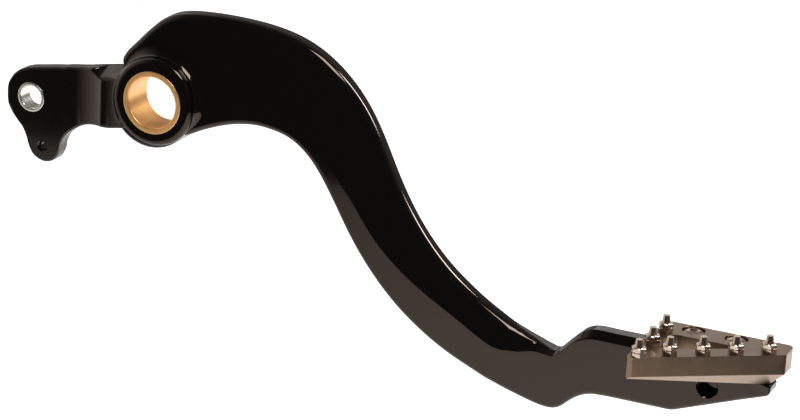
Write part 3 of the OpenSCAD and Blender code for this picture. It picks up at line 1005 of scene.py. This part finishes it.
def close_tree(tree: bpy.types.NodeTree, source: bpy.types.Node,
               shape: bpy.types.NodeSocket) -> None:
    """Ends a tree: the shape goes to its place, is realized and takes its finish.

    Args:
        tree: the tree.
        source: its input node.
        shape: the finished geometry.
    """
    moved = add_node(tree, "GeometryNodeTransform",
                     {"Geometry": shape, "Translation": source.outputs["Place"]})
    real = add_node(tree, "GeometryNodeRealizeInstances", {"Geometry": moved.outputs[0]})
    dressed = add_node(tree, "GeometryNodeSetMaterial",
                       {"Geometry": real.outputs[0], "Material": source.outputs["Finish"]})
    add_node(tree, "NodeGroupOutput", {"Geometry": dressed.outputs[0]})


def grown(tree: bpy.types.NodeTree, name: str, at: Vector, finish: Finish,
          edge: float, angle: float = 28.0) -> bpy.types.Object:
    """Runs a tree on an empty object and turns the result into a plain mesh.

    Args:
        tree: the Geometry Nodes tree.
        name: the piece's name.
        at: where it stands, in millimetres.
        finish: its finish.
        edge: the width of the break on its sharp edges.
        angle: the angle in degrees past which an edge is broken.

    Returns:
        The piece's object.
    """
    made = mesh_object(name, np.zeros((1, 3)), [])
    step = made.modifiers.new("grow", "NODES")
    step.node_group = tree
    given = {"Place": [c * MM for c in at], "Finish": finish.material()}
    for socket in tree.interface.items_tree:
        if socket.in_out == "INPUT":
            value = given[socket.name] if socket.name in given else socket.default_value
            step[socket.identifier] = value
    bake(made)
    break_edges(made, edge, 2, angle)
    return bake(made)


def axis_of(node: str) -> tuple[float, float, float, float]:
    """The x and y of a CAD node's upright axis, and its foot and top, in millimetres."""
    low, high = (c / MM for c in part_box(node))
    return (low.x + high.x) / 2, (low.y + high.y) / 2, low.z, high.z


def hexagon_corner(flats: float) -> float:
    """The radius of a hexagon's corners from its width over the flats."""
    return flats / (2 * math.cos(math.pi / 6))


@dataclass
class Fasteners:
    """Like pieces that one tree makes, each upright in the place of its own CAD node."""

    count: int
    node: str
    made_as: str
    edge: float

    def tree(self) -> bpy.types.NodeTree:
        """The tree that makes one piece from its named sizes."""
        raise NotImplementedError

    def seat(self, foot: float, top: float) -> float:
        """The height that a piece stands on, from its CAD node's foot and top."""
        raise NotImplementedError

    def build(self, finish: Finish) -> list[bpy.types.Object]:
        """Builds and dresses the pieces.

        Args:
            finish: their finish.

        Returns:
            The pieces' objects.
        """
        tree = self.tree()
        made = []
        for number in range(1, self.count + 1):
            node = f"{self.node}_{number}"
            x, y, foot, top = axis_of(node)
            at = Vector((x, y, self.seat(foot, top)))
            piece = grown(tree, f"{node}_{self.made_as}", at, finish, self.edge)
            made.append(place(smooth(piece), node, finish))
        return made


@dataclass
class StepScrews(Fasteners):
    """The two domed socket screws that hold the plate to the bar."""

    count: int = 2
    node: str = "step_screw"
    made_as: str = "headed"
    edge: float = 0.12
    head: float = 3.5
    head_height: float = 2.2
    rim: float = 1.0
    stand: float = 0.4
    shank: float = 2.0
    length: float = 14.0
    flats: float = 2.5
    socket_depth: float = 1.4

    def tree(self) -> bpy.types.NodeTree:
        """The tree that makes one screw from its named sizes."""
        head, tall = self.head, self.head_height
        corner = hexagon_corner(self.flats)
        tree, source, shapes = start_tree("domed_screw", [
            Stock("Head", 64, head, head, tall),
            Stock("Rim", 64, head, head, self.rim),
            Stock("Shank", 48, self.shank, self.shank, self.length, -self.length),
            Stock("Socket", 6, corner, corner, tall, tall - self.socket_depth),
        ], {"Dome Flatness": (tall - self.rim) / head})
        blank, rim, shank, socket = shapes
        size = source.outputs
        ball = add_node(tree, "GeometryNodeMeshUVSphere",
                        {"Segments": 64, "Rings": 32, "Radius": size["Head Foot Radius"]})
        squat = add_node(tree, "ShaderNodeCombineXYZ",
                         {"X": 1.0, "Y": 1.0, "Z": size["Dome Flatness"]})
        lift = add_node(tree, "ShaderNodeCombineXYZ", {"Z": size["Rim Height"]})
        dome = add_node(tree, "GeometryNodeTransform", {
            "Geometry": ball.outputs[0], "Translation": lift.outputs[0],
            "Scale": squat.outputs[0]}).outputs[0]
        cap = add_node(tree, "GeometryNodeMeshBoolean", {1: [dome, blank]},
                       operation="INTERSECT", solver="EXACT").outputs[0]
        whole = add_node(tree, "GeometryNodeMeshBoolean", {1: [cap, rim, shank]},
                         operation="UNION", solver="EXACT").outputs[0]
        drilled = add_node(tree, "GeometryNodeMeshBoolean", {0: whole, 1: socket},
                           operation="DIFFERENCE", solver="EXACT").outputs[0]
        close_tree(tree, source, drilled)
        return tree

    def seat(self, foot: float, top: float) -> float:
        """The underside of the head, which stands a little higher than the CAD node's."""
        return top - self.head_height + self.stand


@dataclass
class GripStuds(Fasteners):
    """The seven screwed-in studs: a hexagon with a groove round it and a tapered pin."""

    count: int = 7
    node: str = "grip_stud"
    made_as: str = "turned"
    edge: float = 0.14
    flats: float = 4.5
    hexagon: float = 2.9
    groove: float = 0.4
    waist_share: float = 0.45
    trim_share: float = 0.48
    pin: float = 2.6
    pin_foot: float = 1.45
    pin_top: float = 1.1
    shank: float = 1.5
    length: float = 5.0

    def tree(self) -> bpy.types.NodeTree:
        """The tree that makes one stud from its named sizes."""
        corner, tall = hexagon_corner(self.flats), self.hexagon
        waist, trimmed = self.flats * self.waist_share, self.flats * self.trim_share
        tier = (tall - self.groove) / 2
        # A cone trims the corners of the upper hexagon, as the stock's turning does
        tree, source, shapes = start_tree("grip_stud", [
            Stock("Lower Hexagon", 6, corner, corner, tier),
            Stock("Waist", 48, waist, waist, tall),
            Stock("Upper Hexagon", 6, corner, corner, tier, tier + self.groove),
            Stock("Trim", 64, trimmed + tall, trimmed, tall),
            Stock("Pin", 48, self.pin_foot, self.pin_top, self.pin, tall),
            Stock("Shank", 48, self.shank, self.shank, self.length, -self.length),
        ])
        lower, middle, upper, trim, pin, shank = shapes
        nut = add_node(tree, "GeometryNodeMeshBoolean", {1: [upper, trim]},
                       operation="INTERSECT", solver="EXACT").outputs[0]
        whole = add_node(tree, "GeometryNodeMeshBoolean", {1: [lower, middle, nut, pin, shank]},
                         operation="UNION", solver="EXACT").outputs[0]
        close_tree(tree, source, whole)
        return tree

    def seat(self, foot: float, top: float) -> float:
        """The foot of the hexagon, which is the top of the shank."""
        return foot + self.length


@dataclass(frozen=True)
class Lamp:
    """A soft rectangular lamp or bright card: its roll is in degrees and its power in watts."""

    name: str
    at: tuple[float, float, float]
    aim: tuple[float, float, float]
    width: float
    height: float
    power: float
    roll: float = 0.0

    def build(self) -> None:
        """Hangs the lamp, out of the camera's sight."""
        data = bpy.data.lights.new(self.name, "AREA")
        data.shape = "RECTANGLE"
        data.size, data.size_y = self.width * MM, self.height * MM
        data.energy = self.power
        made = bpy.data.objects.new(self.name, data)
        made.location = Vector(self.at) * MM
        made.rotation_mode = "QUATERNION"
        facing = (Vector(self.aim) - Vector(self.at)).to_track_quat("-Z", "Y")
        made.rotation_quaternion = facing @ Quaternion((0, 0, 1), math.radians(self.roll))
        made.visible_camera = False
        bpy.context.scene.collection.objects.link(made)


# The softbox behind draws the streak along the arm, the others the lights on hub, lever and bar
LAMPS = (
    Lamp("softbox", (1055, 675, 900), (80, 0, -20), 240, 1000, 22.0, roll=20.0),
    Lamp("hub_light", (200, -116, 332), (5, 0, 0), 150, 150, 0.9),
    Lamp("left_card", (-87, 67, 120), (-15, 0, 8), 70, 70, 0.012),
    Lamp("back_card", (21, 500, 146), (190, 0, -51), 240, 170, 0.09),
)


@dataclass
class Studio:
    """The photograph's view, a plain pale floor and soft light.

    The floor's painted glow and the walls' brightness run between two values, over two places
    each: x in metres on the floor, and the direction's own x or y for the walls.
    """

    eye: tuple[float, float, float] = (469.186, -868.339, 297.416)
    right: tuple[float, float, float] = (0.90873, 0.414248, 0.051069)
    down: tuple[float, float, float] = (0.177219, -0.272163, -0.945791)
    lens: float = 135.0
    sensor: float = 36.0
    floor_z: float = -200.0
    floor_front: float = -480.0
    floor_back: float = 4000.0
    floor_left: float = -420.0
    floor_right: float = 430.0
    paper: str = "#c8c8c8"
    paper_roughness: float = 0.9
    glow_x: tuple[float, float] = (-0.25, 0.15)
    glow: tuple[float, float] = (0.25, 0.95)
    wall_y: tuple[float, float] = (-0.15, 0.45)
    wall: tuple[float, float] = (0.05, 0.22)
    left_x: tuple[float, float] = (-0.45, -0.95)
    left: tuple[float, float] = (0.0, 0.8)
    shine: tuple[float, float, float, float] = (1.0, 0.93, 0.87, 1.0)
    fill: tuple[float, float, float, float] = (1.0, 0.98, 0.96, 1.0)
    fill_strength: float = 0.4

    def camera(self) -> None:
        """Puts the camera where the photograph was taken from."""
        data = bpy.data.cameras.new("view")
        data.lens = self.lens
        data.sensor_width = self.sensor
        data.sensor_fit = "HORIZONTAL"
        data.clip_start = 0.01
        data.clip_end = 50
        made = bpy.data.objects.new("view", data)
        right = Vector(self.right).normalized()
        up = -Vector(self.down)
        up = (up - right * up.dot(right)).normalized()
        back = right.cross(up)
        turn = Matrix((right, up, back)).transposed().to_4x4()
        made.matrix_world = Matrix.Translation(Vector(self.eye) * MM) @ turn
        bpy.context.scene.collection.objects.link(made)
        bpy.context.scene.camera = made

    def floor(self) -> None:
        """Lays the floor of pale paper, which stays white to the camera and elsewhere glows with
        painted light.
        """
        f, b, z = self.floor_front, self.floor_back, self.floor_z
        low, high = self.floor_left, self.floor_right
        made = mesh_object("floor", np.array([(low, f, z), (high, f, z), (high, b, z),
                                              (low, b, z)]), [[0, 1, 2, 3]])
        material = bpy.data.materials.new("white_paper")
        material.use_nodes = True
        tree = material.node_tree
        shader = tree.nodes["Principled BSDF"]
        shader.inputs["Base Color"].default_value = linear(self.paper)
        shader.inputs["Roughness"].default_value = self.paper_roughness
        shader.inputs["Emission Color"].default_value = WHITE
        # Painted glow on the paper: strong on the right, fading out behind the rod lever
        path = add_node(tree, "ShaderNodeLightPath")
        spot = add_node(tree, "ShaderNodeTexCoord").outputs["Object"]
        across = add_node(tree, "ShaderNodeSeparateXYZ", {"Vector": spot}).outputs["X"]
        painted_glow_falloff = add_node(tree, "ShaderNodeMapRange", {
            "Value": across, "From Min": self.glow_x[0], "From Max": self.glow_x[1],
            "To Min": self.glow[0], "To Max": self.glow[1]}, interpolation_type="SMOOTHSTEP")
        glow = add_node(tree, "ShaderNodeMath", {
            0: path.outputs["Is Camera Ray"], 1: painted_glow_falloff.outputs["Result"]}, operation="MAXIMUM")
        tree.links.new(glow.outputs[0], shader.inputs["Emission Strength"])
        made.data.materials.append(material)

    def world(self) -> None:
        """White to the camera, and a quiet room to everything else."""
        world = bpy.data.worlds.new("room")
        bpy.context.scene.world = world
        world.use_nodes = True
        tree = world.node_tree
        tree.nodes.clear()
        path = add_node(tree, "ShaderNodeLightPath")
        heading = add_node(tree, "ShaderNodeTexCoord").outputs["Generated"]
        axes = add_node(tree, "ShaderNodeSeparateXYZ", {"Vector": heading})
        # The walls behind the pedal and left of it are pale, and the room in front is dark
        walls = []
        for axis, span, strength in (("Y", self.wall_y, self.wall), ("X", self.left_x, self.left)):
            walls.append(add_node(tree, "ShaderNodeMapRange", {
                "Value": axes.outputs[axis], "From Min": span[0], "From Max": span[1],
                "To Min": strength[0], "To Max": strength[1]}, interpolation_type="SMOOTHSTEP"))
        both = add_node(tree, "ShaderNodeMath", {
            number: wall.outputs["Result"] for number, wall in enumerate(walls)}, operation="ADD")
        lights = ((WHITE, 1.0), (self.shine, both.outputs[0]), (self.fill, self.fill_strength))
        seen, shine, fill = (
            add_node(tree, "ShaderNodeBackground", {"Color": c, "Strength": s}).outputs[0]
            for c, s in lights)
        inner = add_node(tree, "ShaderNodeMixShader",
                         {0: path.outputs["Is Glossy Ray"], 1: fill, 2: shine}).outputs[0]
        direct = add_node(tree, "ShaderNodeMath", {
            0: path.outputs["Is Camera Ray"], 1: path.outputs["Is Transmission Ray"]},
            operation="MAXIMUM").outputs[0]
        outer = add_node(tree, "ShaderNodeMixShader", {0: direct, 1: inner, 2: seen}).outputs[0]
        add_node(tree, "ShaderNodeOutputWorld", {"Surface": outer})

    def build(self) -> None:
        """Sets the view, floor, world and lamps."""
        self.camera()
        self.floor()
        self.world()
        for lamp in LAMPS:
            lamp.build()
        bpy.context.scene.view_settings.view_transform = "Standard"
        LOG.info("studio set")


ENAMEL = GlossEnamel("stoved_gloss_black_enamel", "gloss_black_metal", "#080807", 0.0, 0.07)
BRONZE = CutMetal("turned_bronze", "bronze", "#efb674", 0.75, 0.34,
                  Tooling.TURNED, 0.5, 0.002)
SLEEVE = CutMetal("turned_bright_steel", "bright_steel", "#e4e4dc", 1.0, 0.26,
                  Tooling.TURNED, 0.45, 0.0015, tuple(mount_at("rod_pin_bore")))
ANODISED = CutMetal("blasted_dark_anodised_aluminium", "dark_anodised_aluminium", "#87725f", 1.0,
                    0.3, Tooling.BLASTED, 0.35, 0.002)
STAINLESS = CutMetal("polished_stainless_steel", "stainless_steel", "#cbb8a8", 1.0, 0.2,
                     Tooling.POLISHED, 0.6, 0.001)


def main() -> None:
    """Builds the studio and every piece in order."""
    logging.basicConfig(level=logging.INFO, format="%(name)s: %(message)s")
    Studio().build()
    PedalArm().build(ENAMEL)
    Bush("pivot_bush", "pivot_bore", outer=11.0, half=6.75, edge=0.5).build(BRONZE)
    Bush("rod_bush", "rod_pin_bore", outer=5.3, half=3.1, edge=0.3).build(SLEEVE)
    StepPlate().build(ANODISED)
    StepScrews().build(STAINLESS)
    GripStuds().build(STAINLESS)


if __name__ == "__main__":
    main()
